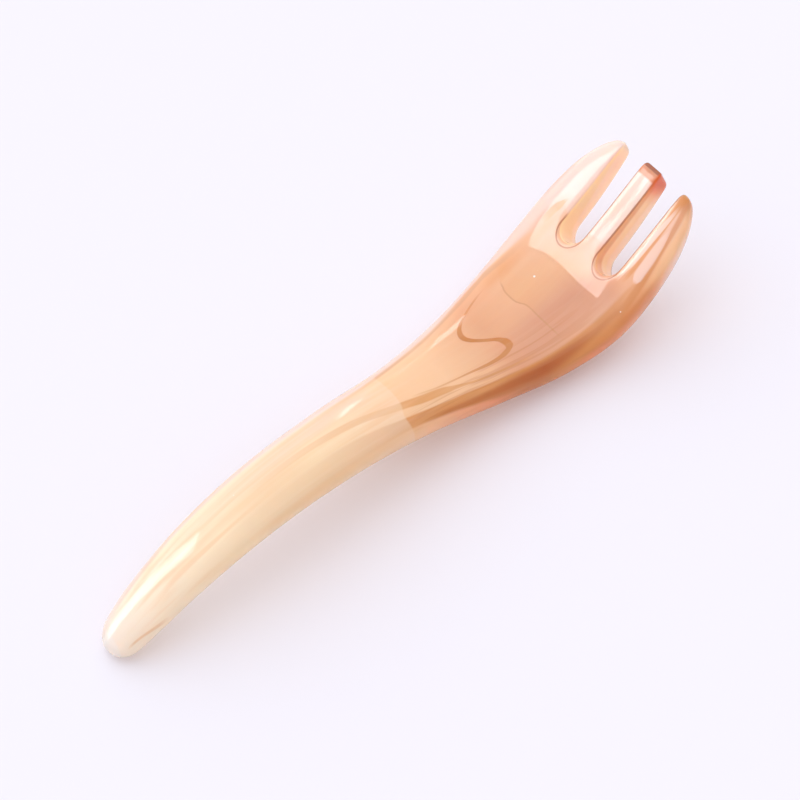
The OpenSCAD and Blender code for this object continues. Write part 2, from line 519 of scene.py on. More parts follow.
    def grind_flats(self, piece: Object) -> None:
        """Grind the flats on which the comb rests, under its handle's end and its head.

        Args:
            piece: The smooth comb, in millimetres.
        """
        level = min(vertex.co.z for vertex in piece.data.vertices) + self.rest_flat
        bpy.ops.object.mode_set(mode="EDIT")
        bpy.ops.mesh.select_mode(type="VERT")
        bpy.ops.mesh.select_all(action="DESELECT")
        for point in bmesh.from_edit_mesh(piece.data).verts:
            point.select_set(point.co.z < level)
        bpy.ops.transform.resize(value=(1, 1, 0), center_override=(0, 0, level))
        bpy.ops.object.mode_set(mode="OBJECT")

    def polish(self, piece: Object) -> None:
        """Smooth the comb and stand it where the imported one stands.

        Args:
            piece: The bent comb, in millimetres.
        """
        rounder = piece.modifiers.new("polished", "SUBSURF")
        rounder.levels = rounder.render_levels = 1
        bpy.ops.object.modifier_apply(modifier=rounder.name)
        self.grind_flats(piece)
        low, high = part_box("comb")
        xs = [vertex.co.x * MM for vertex in piece.data.vertices]
        lowest = min(vertex.co.z for vertex in piece.data.vertices) * MM
        piece.scale = (MM, MM, MM)
        piece.location = ((low.x + high.x - min(xs) - max(xs)) / 2, 0, low.z - lowest)
        bpy.ops.object.transform_apply(location=True, rotation=False, scale=True)
        bpy.ops.object.shade_smooth()

    def build(self, material: bpy.types.Material) -> Object:
        """Make the comb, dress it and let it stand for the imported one.

        Args:
            material: The finish.

        Returns:
            The finished piece.
        """
        bench = Bench("comb_casting")
        self.cut_blank(bench)
        self.draw_outline(bench)
        self.thicken(bench)
        self.bend(bench)
        bpy.ops.mesh.select_all(action="SELECT")
        bpy.ops.mesh.normals_make_consistent(inside=False)
        piece = bench.put_away()
        self.polish(piece)
        piece.data.materials.append(material)
        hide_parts("comb")
        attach(piece, "root")
        return piece


def add_node(
    tree: Tree, kind: str, sockets: dict[str | int, Any] | None = None, **settings: Any
) -> Node:
    """Add a node with its settings and its sockets' values and links.

    Args:
        tree: The material's or world's node tree.
        kind: The node's type, such as "Mix" for Blender's ShaderNodeMix.
        sockets: A value, or another node's output to link, by the input's name or number.
        settings: Properties of the node by name.

    Returns:
        The new node.
    """
    node = tree.nodes.new("ShaderNode" + kind)
    for name, value in settings.items():
        setattr(node, name, value)
    for name, value in (sockets or {}).items():
        if isinstance(value, Socket):
            tree.links.new(value, node.inputs[name])
        else:
            node.inputs[name].default_value = value
    return node


def bare_tree(owner: bpy.types.Material | bpy.types.World) -> Tree:
    """Give a material or world an empty node tree.

    Args:
        owner: The material or world.

    Returns:
        Its node tree.
    """
    owner.use_nodes = True
    owner.node_tree.nodes.clear()
    return owner.node_tree


class Coat:
    """The colour of a material, built up tint over tint on its node tree."""

    def __init__(self, tree: Tree, colour: Any) -> None:
        """Start with one colour.

        Args:
            tree: The material's node tree.
            colour: The first colour, or a node's output that gives it.
        """
        self.tree = tree
        self.colour = colour

    def zone(self, amount: Any, *limits: Limit) -> Any:
        """Give how much of a tint shows in a zone with soft edges.

        Args:
            amount: How much shows inside the zone, a number or a node's output.
            limits: For each edge, what is measured, where the tint starts and where it is full.

        Returns:
            The amount, which is nothing outside the zone.
        """
        for value, start, full in limits:
            sockets = {0: value, 1: start, 2: full}
            rise = add_node(self.tree, "MapRange", sockets, interpolation_type="SMOOTHSTEP")
            sockets = {0: amount, 1: rise.outputs[0]}
            amount = add_node(self.tree, "Math", sockets, operation="MULTIPLY").outputs[0]
        return amount

    def tint(self, colour: Any, amount: Any, *limits: Limit) -> None:
        """Lay a tint over the colour, in a zone with soft edges.

        Args:
            colour: The tint, a hex colour or a node's output.
            amount: How much of it shows inside the zone, a number or a node's output.
            limits: For each edge, what is measured, where the tint starts and where it is full.
        """
        above = linear(colour) if isinstance(colour, str) else colour
        sockets = {0: self.zone(amount, *limits), 6: self.colour, 7: above}
        self.colour = add_node(self.tree, "Mix", sockets, data_type="RGBA").outputs[2]


class Along(Enum):
    """Which way a streak is followed, as the number of the coordinate."""

    LENGTH = 0
    WIDTH = 1


@dataclass(frozen=True)
class Streak:
    """A streak of tint in the resin or of painted light or shade, followed along the comb or across
    it.

    Attributes:
        colour: Its colour.
        blur: Share of half its width over which its edge fades, inwards and outwards.
        rows: Its places in order. Each row gives how far along it is, where its middle is in the
            other direction, half its width, all three in millimetres, and its strength there.
        along: Which way it is followed.
    """

    colour: str
    blur: float
    rows: tuple[tuple[float, float, float, float], ...]
    along: Along = Along.LENGTH

    def lay(self, coat: Coat, place: Node) -> None:
        """Lay the streak over a coat.

        Args:
            coat: The coat.
            place: Node that gives the coordinates in millimetres.
        """
        tree = coat.tree
        ways, middles, halves, strengths = zip(*self.rows)
        start, end = ways[0], ways[-1]
        low = min(middles)
        high = max(*middles, low + 0.1)
        widest = max(halves)
        sockets = {0: place.outputs[self.along.value], 1: start, 2: end}
        share = add_node(tree, "MapRange", sockets)
        curves = add_node(tree, "RGBCurve", {1: share.outputs[0]})
        shapes = {
            "AUTO": [(middle - low) / (high - low) for middle in middles],
            "AUTO_CLAMPED": [half / widest for half in halves],
            "VECTOR": strengths,
        }
        for curve, (handle, values) in zip(curves.mapping.curves, shapes.items()):
            for i, (way, value) in enumerate(zip(ways, values)):
                at = (way - start) / (end - start)
                if 0 < i < len(values) - 1:
                    point = curve.points.new(at, value)
                else:
                    point = curve.points[-1 if i else 0]
                    point.location = (at, value)
                point.handle_type = handle
        curves.mapping.update()
        parts = add_node(tree, "SeparateColor", {0: curves.outputs[0]})
        sockets = {0: parts.outputs[0], 3: low, 4: high}
        middle = add_node(tree, "MapRange", sockets, clamp=False)
        sockets = {0: parts.outputs[1], 1: widest}
        half = add_node(tree, "Math", sockets, operation="MULTIPLY")
        off = place.outputs[1 - self.along.value]
        steps = {"SUBTRACT": middle.outputs[0], "ABSOLUTE": 0.0, "DIVIDE": half.outputs[0]}
        for operation, other in steps.items():
            off = add_node(tree, "Math", {0: off, 1: other}, operation=operation).outputs[0]
        coat.tint(self.colour, parts.outputs[2], (off, 1 + self.blur, 1 - self.blur))


# The streaks, from the lowest to the uppermost, each named for its tint or its place; some are
# painted highlights, reflections, glow and shade, as said above each
# Painted glow: salmon along the shaded lower right edge of the neck and head, standing in for light
# shining through the resin.
PAINTED_SALMON_EDGE_GLOW = Streak("#F07A40", 0.7, (
    (-2, -10.5, 2.5, 0), (12, -12, 2.5, 0.5), (30, -15.5, 3, 0.9), (42, -18, 3.5, 0.9),
    (56, -18.5, 3, 0.6), (68, -17.5, 2, 0.2), (78, -14, 2, 0),
))
OCHRE_BOWL = Streak("#E8AE7A", 0.03, (
    (-12, 51.5, 10, 0), (-6, 51.5, 10, 0.6), (0.3, 51.7, 10, 0.7), (2.6, 50.9, 10, 0.7),
    (4.8, 50.4, 10, 0.6), (8.5, 51.1, 10, 0.5), (13, 53.5, 10, 0.3), (15, 54, 10, 0),
), Along.WIDTH)
ROSE_BOWL = Streak("#D29272", 0.9, (
    (24, -8, 3, 0), (34, -7, 5, 0.7), (42, -6.5, 6, 0.9), (50, -7, 6, 0.9), (56, -9.5, 4.5, 0.8),
    (64, -11.5, 2.5, 0),
))
ORANGE_FOLD = Streak("#E0964E", 0.8, (
    (36, 10.6, 1, 0), (40, 11.6, 1.2, 0.4), (45, 12, 1.6, 0.5), (50, 12.4, 1.8, 0.2),
    (56, 12.2, 1.5, 0.1), (64, 12.6, 1.4, 0),
))
BROWN_BAND = Streak("#D68E46", 0.2, (
    (-60, -5, 1.4, 0), (-22, -5.6, 2, 0.3), (-8, -6.3, 1.6, 0.5), (-1, -6.9, 1.2, 0.75),
    (7, -7.9, 1.1, 0.85), (16, -9.4, 1.3, 0.85), (26, -11.4, 1.6, 0.9), (36, -13.4, 2, 0.9),
    (46, -14.6, 2.2, 0.85), (54, -15.4, 2.4, 0.7), (60, -15.6, 1.8, 0.5), (66, -15.2, 1.2, 0.25),
    (72, -14.5, 0.8, 0),
))
DARK_CORE = Streak("#AC4E0C", 0.8, (
    (2, -8.2, 0.3, 0), (9, -9, 0.4, 0.5), (18, -10.4, 0.6, 0.6), (26, -11.8, 1, 0.8),
    (34, -13.2, 1.3, 0.95), (42, -13.9, 1.1, 0.7), (48, -14.4, 0.8, 0.4), (58, -15.4, 0.5, 0),
))
TAN_WEDGE = Streak("#DC9C58", 0.25, (
    (-40, 0.4, 0.6, 0), (-18, 0, 0.8, 0.6), (0.2, -2.9, 0.9, 0.8), (5.5, -4, 1, 0.9),
    (10.5, -4.8, 0.9, 0.8), (14, -5.6, 0.5, 0.7), (20, -7.1, 0.25, 0.7), (30, -8.8, 0.25, 0.6),
    (36, -9.6, 0.3, 0),
))
BOWL_LINE = Streak("#C48C5A", 0.6, (
    (-10, 41.5, 0.2, 0), (-8, 41.5, 0.2, 0.5), (-2.4, 41.6, 0.2, 0.5), (0.3, 41.7, 0.2, 0.5),
    (2.6, 40.9, 0.2, 0.5), (4.8, 40.4, 0.2, 0.5), (8.5, 41.1, 0.2, 0.5), (10, 42, 0.2, 0),
), Along.WIDTH)
VEIN_TAIL = Streak("#C9803A", 0.25, (
    (4, -2.2, 0.15, 0), (6.8, -2.8, 0.2, 0.25), (10.9, -3.6, 0.2, 0.4), (15.5, -4.1, 0.2, 0.5),
    (19.2, -4.5, 0.25, 0.65), (22.7, -5, 0.35, 0.85), (25.4, -5.3, 0.42, 0.95),
    (27.8, -5.35, 0.5, 1), (29.6, -5.1, 0.6, 1), (31.2, -4.6, 0.55, 1), (32.2, -4.1, 0.35, 1),
    (32.5, -4, 0.2, 0),
))
VEIN_ARCH = Streak("#C9803A", 0.25, (
    (-5.3, 30.6, 0.3, 0), (-5, 30.9, 0.7, 1), (-4.1, 31.5, 1, 1), (-2.7, 31.5, 1, 1),
    (-1.5, 30.7, 0.85, 1), (-0.3, 28.9, 0.85, 1), (1, 26.9, 0.8, 1), (2.4, 25.3, 0.75, 1),
    (3.6, 24.7, 0.7, 1), (4.8, 24.9, 0.7, 0.95), (6.3, 26.1, 0.65, 0.85), (7.9, 28.8, 0.6, 0.7),
    (9.8, 33.3, 0.7, 0.6), (11.1, 37.8, 0.9, 0),
), Along.WIDTH)
AMBER_WASH = Streak("#EAA86C", 0.4, (
    (54, -14, 4, 0), (61, -14, 4.5, 0.6), (66, -13.6, 4.4, 0.6), (72, -13, 4.2, 0.45),
    (80.5, -12, 3.8, 0.4),
))
AMBER_TINE = Streak("#D28646", 0.5, (
    (52, -16, 0.8, 0), (57, -15.4, 0.8, 0.5), (62, -14.9, 0.7, 0.7), (65, -14.5, 0.6, 0.7),
    (68, -13.9, 0.6, 0.75), (72, -13.2, 0.6, 0.6), (76, -12.1, 0.7, 0.6), (78.5, -11, 1, 0.6),
    (80.5, -10.6, 1, 0),
))
INNER_AMBER = Streak("#DE9858", 0.5, (
    (58.5, -11.3, 0.3, 0), (61, -11.6, 0.45, 0.7), (65, -11.6, 0.45, 0.7), (70, -11.2, 0.5, 0.8),
    (75, -10.6, 0.8, 0.9), (78.5, -10.3, 1, 0.9), (80.5, -10.3, 1, 0),
))
# Painted highlight: a pale strip along the slot edge of the right tine, where its round edge
# catches the light.
PAINTED_EDGE_HIGHLIGHT = Streak("#FCEBE0", 0.3, (
    (58, -10, 0.4, 0), (60, -10.1, 0.5, 0.6), (63, -10.5, 0.55, 0.75), (68.4, -10.6, 0.6, 0.75),
    (73, -10.8, 0.45, 0.75), (76.5, -10.8, 0.2, 0),
))
# Painted reflection: a pale finger on the right tine, a second lobe of the softbox's reflection.
PAINTED_FINGER_REFLECTION = Streak("#F7D8C6", 0.25, (
    (59.8, -13.7, 0.2, 0), (60.6, -13.6, 0.8, 0.9), (62, -13.4, 1.15, 0.9),
    (64.5, -13.2, 1.15, 0.9), (67.5, -12.9, 1, 0.9), (70, -12.7, 0.6, 0.8), (72, -12.5, 0.2, 0),
))
PALE_OUTER = Streak("#FFD2A0", 0.6, (
    (60, -16.6, 0.5, 0), (64, -16.5, 1, 0.5), (68.5, -15.7, 1.1, 0.75), (72, -15.2, 1.1, 0.75),
    (76, -13.8, 1.1, 0.7), (79, -12.2, 0.9, 0),
))
DARK_SIDE = Streak("#CE7A3C", 0.6, (
    (48, -17, 0.5, 0), (56, -17.3, 0.6, 0.3), (61.5, -17.5, 0.7, 0.4), (64.5, -17.3, 0.6, 0.25),
    (68, -16.8, 0.4, 0),
))
PALE_SIDE = Streak("#FBE8DC", 0.5, (
    (62, -18.6, 0.8, 0), (68, -18, 1.1, 0.6), (72, -17.2, 1.2, 0.8), (76, -16, 1.4, 0.85),
    (80.5, -13.7, 1.7, 0.85),
))
# Painted reflection: a pale grey-pink veil along the upper left edge of the head, the studio
# mirrored at a grazing angle.
PAINTED_RIM_REFLECTION = Streak("#EAD0C4", 0.2, (
    (22, 12.2, 1.6, 0), (30, 14.2, 1.8, 0.9), (38, 16.2, 2.1, 0.9), (45, 17.4, 2.6, 0.9),
    (50, 17.8, 3.2, 0.85), (56, 18, 3.6, 0.5), (62, 18, 4, 0),
))
# Painted shade: a darker tan line along the inner side of the painted veil at the upper left edge.
PAINTED_RIM_SHADE_LINE = Streak("#CC9C74", 0.6, (
    (-12, 5.8, 0.3, 0), (-6.8, 6, 0.45, 0.4), (-2, 6.3, 0.45, 0.6), (1.6, 6.7, 0.5, 0.8),
    (7, 7.3, 0.5, 0.7), (14, 8.2, 0.5, 0.6), (20, 9.4, 0.5, 0.6), (26, 10.8, 0.6, 0.7),
    (32, 12, 0.5, 0.6), (38, 13.4, 0.5, 0.6), (42, 13.9, 0.7, 0.6), (46, 13.6, 0.7, 0.4),
    (52, 13.3, 0.4, 0),
))
# Partly the paler resin of the left tine, partly a painted reflection of the studio along the upper
# left edge.
PALE_TINE_PAINTED_REFLECTION = Streak("#F8DCD0", 0.4, (
    (46, 17.5, 2, 0), (56, 17.6, 4, 0.7), (66, 15.5, 6.2, 0.85), (74, 13.8, 6.2, 0.9),
    (80, 12, 4.4, 0.9), (82, 11.5, 4, 0.9),
))
LEFT_BAND = Streak("#EAC2AC", 0.35, (
    (58, 18.2, 1.2, 0), (62, 18.1, 1.5, 0.5), (66, 17.8, 1.6, 0.7), (70, 17.2, 1.6, 0.75),
    (74, 16.2, 1.6, 0.75), (77, 14.6, 1.7, 0.75), (79, 12.8, 2.2, 0.7), (81, 11.5, 4, 0.6),
))
LEFT_TAN = Streak("#E8B48A", 0.5, (
    (54, 12.6, 1.6, 0), (58, 12.2, 2, 0.65), (61, 12, 1.6, 0.6), (64.5, 11.6, 0.8, 0),
))
# Painted reflection: paler pink between the slot roots, so that the softbox's reflection fades into
# the middle tine.
ROOT_PINK_PAINTED_REFLECTION = Streak("#FADDD6", 0.6, (
    (54, 0, 5, 0), (57, 0, 5, 0.12), (59.5, 0, 4.6, 0.3), (62, 0, 4, 0.6), (64, 0, 4, 0.5),
    (68, 0, 4, 0),
))
LEFT_TONGUE = Streak("#DDA468", 0.3, (
    (57, 12.7, 0.4, 0), (59, 12.7, 0.9, 0.5), (61, 12.3, 0.9, 0.75), (62.6, 11.8, 0.5, 0.7),
    (63.8, 11.3, 0.2, 0),
))
TIP_LINE = Streak("#D9A670", 0.6, (
    (-78, -3.8, 0.15, 0), (-76.3, -4.1, 0.2, 0.8), (-70.5, -5.6, 0.2, 0.8), (-68, -6, 0.15, 0),
))
HANDLE_RESIN = Streak("#FAE4C8", 0.008, (
    (-10, -41.4, 40, 0.42), (-8, -40.9, 40, 0.42), (-6, -40.8, 40, 0.42), (-2.2, -39.2, 40, 0.42),
    (1.2, -38.7, 40, 0.34), (6.9, -38.6, 40, 0.25), (10, -38.2, 40, 0.25),
), Along.WIDTH)
HANDLE_TAN = Streak("#EEC090", 0.8, (
    (-50, -1.6, 2, 0), (-42, -1.5, 2.4, 0.3), (-36, -1.4, 2.6, 0.4), (-30, -1.2, 2.6, 0.35),
    (-22, -1, 2, 0),
))
HANDLE_BLUSH = Streak("#F2C8B8", 0.8, (
    (-62, 3.4, 1.5, 0), (-54, 3.6, 2.2, 0.2), (-36, 3.9, 2.6, 0.4), (-19, 4.4, 2.4, 0.5),
    (-7, 4.8, 2.2, 0.4), (-1, 5, 2, 0),
))
# Painted reflection: a pale veil along the upper left edge of the handle and neck, the studio
# mirrored at a grazing angle.
PAINTED_HANDLE_RIM_REFLECTION = Streak("#F0D6CC", 0.35, (
    (-79.5, 3.2, 1, 0.5), (-74, 5.4, 1.5, 0.7), (-70.6, 5.9, 1.6, 0.8), (-54, 7.4, 1.8, 0.9),
    (-36, 7.8, 1.8, 0.9), (-19, 8, 1.8, 0.9), (-6, 8.2, 1.8, 0.9), (2, 8.8, 1.6, 0.9),
    (15, 10.6, 1.7, 0.9), (24, 12.4, 1.8, 0.8), (34, 15.2, 1.8, 0),
))


@dataclass(frozen=True)
class ImitationHorn:
    """Cast resin that imitates horn, tumbled and buffed to a wet gloss.

    The clouded resin lets light in for a few millimetres, so thin edges glow and thick parts
    look deeper. Cream, peach and brown pours run through each other as flowing streaks, and the
    polish mirrors the softbox with a crisp edge. The lamps' light also goes through the resin,
    less through the thick handle, so the shadow on the table is soft, pale and warm. Some
    highlights, reflections, glow and shade are also painted into the colour: along the long edges,
    on the right tine, at the slot roots, on the walls and rims of the slots and at the end of the
    middle tine.

    Attributes:
        tints: Colours along the comb, each after its distance from the middle in millimetres.
        flow_tan: Colour of the broad streaks, some 8 mm wide and 120 mm long.
        flow_brown: Colour of the threads along the head, about 1 mm wide. The real ones are
            finer, and are drawn this coarse because they would vanish in the picture.
        flow_pale: Colour of the fine pale streaks, some 3 mm wide.
        painted_wall_glow: Painted orange glow on the walls of the slots, standing in for light that
            comes through the resin.
        painted_wall_low_light: Painted paler light low down on the same walls.
        painted_wall_edge_shade: Painted shade on the same walls, just under the top edge.
        painted_rim_shade: Painted shade: the thin dark line round the rounded edges of the slots.
        end_brown: Colour of the end of the middle tine.
        painted_end_glow: Painted orange glow on its wall near the end.
        painted_corner_glow: Painted red glow on the right edge of its end.
        painted_end_shade: Painted shade: the dark line round its end.
        end_amber: Colour of the end of the right tine.
        root_centre: Place between the centres of the slot roots, in millimetres.
        tine_rise: Angle at which the tines rise, in degrees.
        plan_share: How long a piece of a tine looks from above, as a share of its length.
        slot_middle: Distance of a slot's middle line from the comb's, in millimetres.
        scatter: How far red, green and blue light spread in the resin, as shares.
        scatter_depth: How far red light spreads, in millimetres.
        let_through: Colour of the light that comes through the handle.
        head_lets_through: Colour of the light that comes through the thinner head.
        bubble_white: Colour of a bubble just under the polish.
        bubbles: Place along, place across and radius of each bubble, in millimetres.
        streaks: The streaks, in the order in which they are laid.
    """

    tints: tuple[tuple[float, str], ...] = (
        (-81, "#F4ECE4"), (-77, "#F2EEE0"), (-71, "#F8F0D8"), (-50, "#F9E9BF"),
        (-24, "#F6DCA6"), (0, "#F8CEA0"), (14, "#F6CA9E"), (30, "#E5A97D"),
        (44, "#EDB78D"), (56, "#F2C8AC"), (66, "#F6DCCC"), (81, "#FBECE2"),
    )
    flow_tan: str = "#F0BE88"
    flow_brown: str = "#C47C46"
    flow_pale: str = "#FFECD2"
    painted_wall_glow: str = "#FFE8B8"
    painted_wall_low_light: str = "#FFEACE"
    painted_wall_edge_shade: str = "#D08040"
    painted_rim_shade: str = "#A8683E"
    end_brown: str = "#D2804A"
    painted_end_glow: str = "#E88034"
    painted_corner_glow: str = "#DC5A14"
    painted_end_shade: str = "#883A1C"
    end_amber: str = "#CE8A50"
    root_centre: Triple = (63.0, 0.0, 13.2)
    tine_rise: float = 39
    plan_share: float = 0.78
    slot_middle: float = 5.8
    scatter: Triple = (1.0, 0.5, 0.25)
    scatter_depth: float = 8.0
    let_through: str = "#F2DCC6"
    head_lets_through: str = "#FFF4EC"
    bubble_white: str = "#FFF8EE"
    bubbles: tuple[Triple, ...] = (
        (-42.4, 2.5, 0.22), (47.7, 5.1, 0.28), (49.2, 5.6, 0.16), (54.4, -15.5, 0.22),
    )
    streaks: tuple[Streak, ...] = (
        PAINTED_SALMON_EDGE_GLOW, OCHRE_BOWL, ROSE_BOWL, ORANGE_FOLD, BROWN_BAND, DARK_CORE, TAN_WEDGE,
        BOWL_LINE, VEIN_TAIL, VEIN_ARCH, AMBER_WASH, AMBER_TINE, INNER_AMBER, PAINTED_EDGE_HIGHLIGHT,
        PAINTED_FINGER_REFLECTION, PALE_OUTER, DARK_SIDE, PALE_SIDE, PAINTED_RIM_REFLECTION, PAINTED_RIM_SHADE_LINE, PALE_TINE_PAINTED_REFLECTION, LEFT_BAND,
        LEFT_TAN, ROOT_PINK_PAINTED_REFLECTION, LEFT_TONGUE, TIP_LINE, HANDLE_RESIN, HANDLE_TAN, HANDLE_BLUSH,
        PAINTED_HANDLE_RIM_REFLECTION,
    )

    def ramp(self, tree: Tree, length: Socket) -> Socket:
        """Change the tint along the comb, from the handle to the tines.

        Args:
            tree: The material's node tree.
            length: Place along the comb, in millimetres.

        Returns:
            The tint.
        """
        low, high = self.tints[0][0], self.tints[-1][0]
        share = add_node(tree, "MapRange", {0: length, 1: low, 2: high})
        ramp = add_node(tree, "ValToRGB", {0: share.outputs[0]})
        stops = ramp.color_ramp.elements
        for i, (place, colour) in enumerate(self.tints):
            inner = 0 < i < len(self.tints) - 1
            stop = stops.new((place - low) / (high - low)) if inner else stops[-1 if i else 0]
            stop.color = linear(colour)
        return ramp.outputs[0]

    def widened(self, tree: Tree, place: Node) -> Socket:
        """Give coordinates that widen with the comb, so that streaks spread towards the head.

        Args:
            tree: The material's node tree.
            place: Node that gives the coordinates in millimetres.

        Returns:
            The coordinates, as if the comb were as wide all along as it is at its head.
        """
        sockets = {0: place.outputs[0], 1: -LENGTH / 2, 2: LENGTH / 2}
        share = add_node(tree, "MapRange", sockets)
        width = add_node(tree, "FloatCurve", {1: share.outputs[0]})
        points = width.mapping.curves[0].points
        for section in SECTIONS[1:-1]:
            points.new(section.place, section.half_width)
        points[0].location = (0, SECTIONS[0].half_width)
        points[-1].location = (1, SECTIONS[-1].half_width)
        width.mapping.update()
        sockets = {0: place.outputs[1], 1: width.outputs[0]}
        across = add_node(tree, "Math", sockets, operation="DIVIDE")
        sockets = {0: place.outputs[0], 1: across.outputs[0], 2: place.outputs[2]}
        return add_node(tree, "CombineXYZ", sockets).outputs[0]

    def flow(self, tree: Tree, point: Socket, scale: Triple) -> Socket:
        """Draw streaks that flow along the comb.

        Args:
            tree: The material's node tree.
            point: Coordinates that widen with the comb.
            scale: How fast the streaks change along, across and up, for each millimetre.

        Returns:
            A noise that is highest along the middle of a streak.
        """
        stretched = add_node(tree, "Mapping", {0: point, 3: scale})
        sockets = {0: stretched.outputs[0], "Scale": 1.0, "Detail": 1.5, "Distortion": 0.3}
        return add_node(tree, "TexNoise", sockets).outputs[0]

    def pours(self, coat: Coat, place: Node) -> None:
        """Draw the flowing streaks of the pours, which are strongest on the handle.

        Args:
            coat: The coat below.
            place: Node that gives the coordinates in millimetres.
        """
        tree = coat.tree
        x, y = place.outputs[:2]
        point = self.widened(tree, place)
        amounts = []
        for on_head, on_handle in ((0.1, 0.4), (0.03, 0.1)):
            sockets = {0: x, 1: 8.0, 2: -4.0, 3: on_head, 4: on_handle}
            rise = add_node(tree, "MapRange", sockets, interpolation_type="SMOOTHSTEP")
            amounts.append(rise.outputs[0])
        broad = self.flow(tree, point, (0.008, 0.2, 0.12))
        coat.tint(self.flow_tan, amounts[0], (broad, 0.4, 0.65), (x, -80.0, -64.0))
        fine = self.flow(tree, point, (0.009, 0.5, 0.3))
        coat.tint(self.flow_pale, amounts[1], (fine, 0.42, 0.7))
        threads = self.flow(tree, point, (0.006, 0.9, 0.3))
        lower_head = (y, -3.0, -7.0), (x, 58.0, 36.0), (x, -2.0, 4.0)
        coat.tint(self.flow_brown, 0.32, (threads, 0.48, 0.62), *lower_head)

    def tines(self, coat: Coat, point: Socket) -> None:
        """Paint glow and shade on the walls of the slots and the end of the middle tine, and tint
        the ends of the tines.

        The tines are measured along, across and at right angles to their own rise, from between
        the centres of the slot roots, in millimetres.

        Args:
            coat: The coat below.
            point: The coordinates in millimetres.
        """
        tree = coat.tree
        rise = math.radians(self.tine_rise)
        sockets = {0: point, 1: self.root_centre, 2: (0, -rise, 0)}
        turned = add_node(tree, "Mapping", sockets, vector_type="TEXTURE")
        local = add_node(tree, "SeparateXYZ", {0: turned.outputs[0]})
        along, across, height = local.outputs[:3]
        normal = add_node(tree, "NewGeometry").outputs["Normal"]
        sockets = {0: normal, 1: (-math.sin(rise), 0, math.cos(rise))}
        facing = add_node(tree, "VectorMath", sockets, operation="DOT_PRODUCT")
        facing, side = (
            add_node(tree, "Math", {0: value}, operation="ABSOLUTE").outputs[0]
            for value in (facing.outputs["Value"], across)
        )
        wall = coat.zone(1.0, (facing, 0.75, 0.35), (side, 10.6, 9.6), (along, -7.0, -3.0))
        sockets = {0: coat.zone(along, (across, 4.0, 7.0)), 1: -0.22, 2: height}
        slant = add_node(tree, "Math", sockets, operation="MULTIPLY_ADD").outputs[0]
        # Painted glow and shade on the walls of the slots: pale light low down, orange glow above
        # the slant and shade just under the top edge.
        shade = Coat(tree, linear(self.painted_wall_low_light))
        shade.tint(self.painted_wall_glow, 1.0, (slant, -2.2, -0.6))
        shade.tint(self.painted_wall_edge_shade, 0.6, (height, 1.0, 2.4), (across, 4.0, 2.0))
        coat.tint(shade.colour, wall)
        self.rims(coat, along, across, side)
        # Painted orange and red glow and a painted dark line of shade at the end of the middle
        # tine, with its brown end and the amber end of the right tine.
        middle = (side, 4.5, 3.5)
        coat.tint(self.painted_end_glow, wall, middle, (along, 13.0, 20.5))
        coat.tint(self.end_brown, 0.85, middle, (along, 19.2, 19.8))
        coat.tint(self.painted_end_shade, 0.75, middle, (along, 21.38, 21.65))
        coat.tint(self.painted_corner_glow, 0.85, middle, (along, 16.5, 20.5), (across, -1.6, -2.4))
        coat.tint(self.end_amber, 0.65, (across, -7.0, -8.0), (along, 17.5, 21.5))

    def rims(self, coat: Coat, along: Socket, across: Socket, side: Socket) -> None:
        """Paint the thin dark line of shade that the round edges of the slots show.

        Args:
            coat: The coat below.
            along: Distance up the tines from the centres of the slot roots.
            across: Place across the comb.
            side: Distance from the middle of the comb.
        """
        tree = coat.tree
        bare = coat.zone(1.0, (along, 0.0, 3.0), (across, 7.0, 8.0))
        faint = add_node(tree, "MapRange", {0: bare, 3: 0.8, 4: 0.1})
        root = along
        for operation, other in {"MULTIPLY": self.plan_share, "MINIMUM": 0.0}.items():
            root = add_node(tree, "Math", {0: root, 1: other}, operation=operation).outputs[0]
        sockets = {0: side, 1: self.slot_middle}
        off = add_node(tree, "Math", sockets, operation="SUBTRACT")
        flat = add_node(tree, "CombineXYZ", {0: root, 1: off.outputs[0]})
        reach = add_node(tree, "VectorMath", {0: flat.outputs[0]}, operation="LENGTH")
        reach = reach.outputs["Value"]
        # Painted shade: a thin dark line round the slots, fading towards their roots.
        coat.tint(self.painted_rim_shade, faint.outputs[0], (reach, 3.22, 3.32), (reach, 3.66, 3.52))

    def add_bubbles(self, coat: Coat, point: Socket) -> None:
        """Draw the bubbles just under the polish of the comb's top.

        Args:
            coat: The coat below.
            point: The coordinates in millimetres.
        """
        for x, y, radius in self.bubbles:
            share = (x - HANDLE_END) / LENGTH
            top = smooth(share, "mid_height") + smooth(share, "half_thick")
            sockets = {0: point, 1: (x, y, top)}
            off = add_node(coat.tree, "VectorMath", sockets, operation="DISTANCE")
            edge = (off.outputs["Value"], 1.3 * radius, 0.7 * radius)
            coat.tint(self.bubble_white, 1.0, edge)

